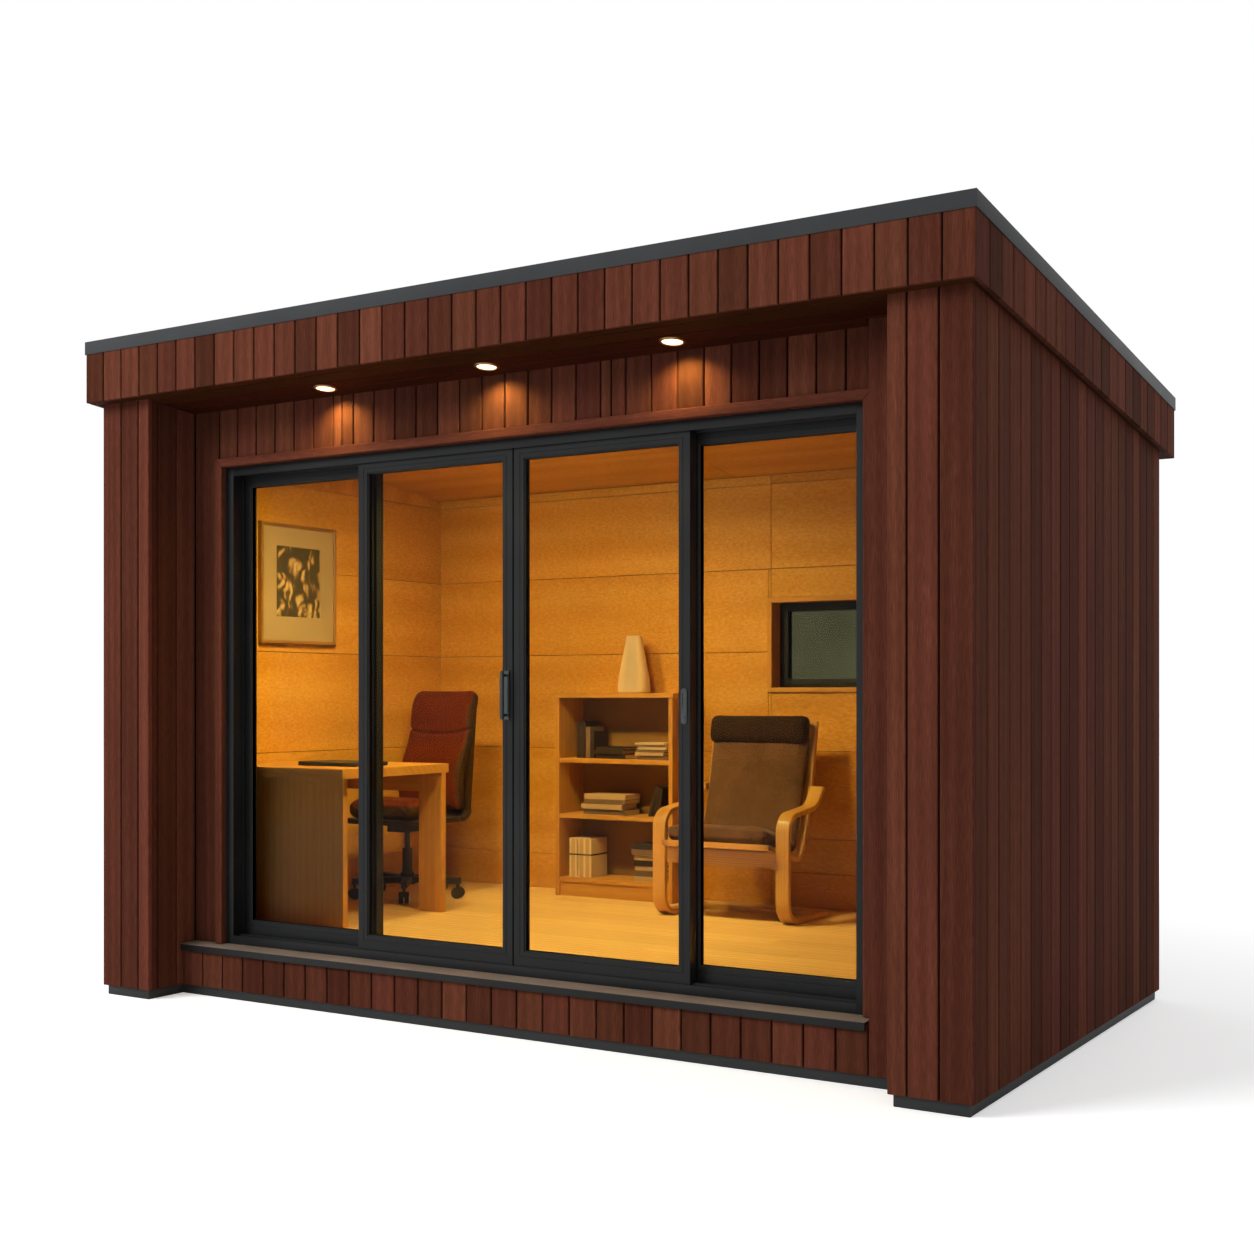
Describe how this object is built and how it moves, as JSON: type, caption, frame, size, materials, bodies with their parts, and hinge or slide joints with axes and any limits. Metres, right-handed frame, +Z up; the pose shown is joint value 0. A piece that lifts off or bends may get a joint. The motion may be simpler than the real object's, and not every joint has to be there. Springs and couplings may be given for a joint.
{
  "type": "garden room",
  "caption": "Timber-clad garden room with a pent roof, a recessed sliding glass door set between boxed piers, soffit lights and a furnished lined interior.",
  "frame": {"origin": "on the ground under the middle of the roof", "axes": "+X to the right seen from the front, +Y from the doors towards the rear wall, +Z up"},
  "size_m": [4.036, 2.533, 2.85],
  "materials": {
    "cladding": "oiled vertical boards",
    "soffit_board": "oiled long boards",
    "dark_metal": "matt powder coat",
    "frame_metal": "satin anthracite powder coat",
    "sill_metal": "satin bronze grey coat",
    "base_metal": "matt black coat",
    "membrane": "matt roof sheet",
    "unit_glass": "clear sealed unit",
    "lining_ply": "satin lacquered boards",
    "oak": "satin lacquer",
    "floor_oak": "matt lacquered planks",
    "lamp_rim": "satin",
    "lamp_lens": "lit diffuser",
    "black_plastic": "fine grained",
    "rust_fabric": "woven wool",
    "brown_fabric": "woven cotton",
    "bent_birch": "clear lacquered bent strips",
    "book_paper": "cloth and paper",
    "vase_clay": "matt glaze",
    "desk_pad_black": "smooth",
    "print_paper": "mat board and print",
    "picture_wood": "satin stain"
  },
  "bodies": {
    "building": {"base_rail": "base_metal", "floor": "floor_oak", "left_wall": "cladding", "right_wall": "cladding", "rear_wall": "cladding", "pier_left": "cladding", "pier_right": "cladding", "front_base_wall": "cladding", "front_wall_left": "cladding", "front_wall_right": "cladding", "header_wall": "cladding", "door_trim": "cladding", "sill": "sill_metal", "door_head": "frame_metal", "door_threshold": "frame_metal", "door_jamb_left": "frame_metal", "door_jamb_right": "frame_metal", "fixed_panel_left": "frame_metal", "fixed_panel_right": "frame_metal", "fixed_glass": "unit_glass", "roof_deck": "soffit_board", "roof_membrane": "membrane", "roof_trim": "dark_metal", "fascia_front": "cladding", "fascia_rear": "cladding", "fascia_left": "cladding", "fascia_right": "cladding", "soffit": "soffit_board", "downlight_rims": "lamp_rim", "downlight_lenses": "lamp_lens", "window_lining": "oak", "window_frame": "frame_metal", "window_glass": "unit_glass", "side_linings": "lining_ply", "rear_lining": "lining_ply", "ceiling_lining": "lining_ply", "desk": "oak", "desk_pad": "desk_pad_black", "office_chair_base": "black_plastic", "office_chair_pads": "rust_fabric", "bookcase": "oak", "books": "book_paper", "vase": "vase_clay", "armchair_frame": "bent_birch", "armchair_cushion": "brown_fabric", "armchair_headrest": "brown_fabric", "picture_frame": "picture_wood", "picture_print": "print_paper"},
    "left_leaf": {"sliding_panel_left": "frame_metal", "sliding_glass_left": "unit_glass", "pull_handle": "frame_metal"},
    "right_leaf": {"sliding_panel_right": "frame_metal", "sliding_glass_right": "unit_glass", "flush_pull": "frame_metal"}
  },
  "joints": [
    {"name": "left_leaf_slide", "type": "slide", "parent": "building", "child": "left_leaf", "axis": [-1, 0, 0], "range_m": [0, 0.7]},
    {"name": "right_leaf_slide", "type": "slide", "parent": "building", "child": "right_leaf", "axis": [1, 0, 0], "range_m": [0, 0.65]}
  ]
}
